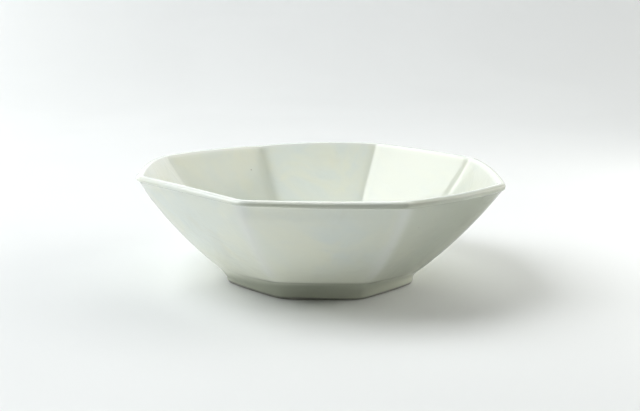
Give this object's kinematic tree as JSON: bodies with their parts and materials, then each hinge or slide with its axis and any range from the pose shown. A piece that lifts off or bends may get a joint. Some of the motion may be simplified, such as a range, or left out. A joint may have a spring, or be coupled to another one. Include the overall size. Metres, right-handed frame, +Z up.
{
  "type": "octagonal porcelain bowl",
  "caption": "Octagonal porcelain bowl with flat sloping walls, a trimmed lip and a luted foot ring, glazed all over except where it stands.",
  "frame": {"origin": "middle of the foot's contact face, on the surface the bowl stands on", "axes": "+Z up along the bowl's axis, one flat side faces -Y and one faces +X"},
  "size_m": [0.187, 0.187, 0.0595],
  "materials": {
    "porcelain": "matte",
    "luting_clay": "matte",
    "white_glaze": "gloss"
  },
  "bodies": {
    "root": {"bowl_shell": "porcelain", "foot_ring": "porcelain", "outer_luting_coil": "luting_clay", "inner_luting_coil": "luting_clay", "inside_glaze": "white_glaze", "outside_glaze": "white_glaze", "underside_glaze": "white_glaze"}
  },
  "joints": []
}
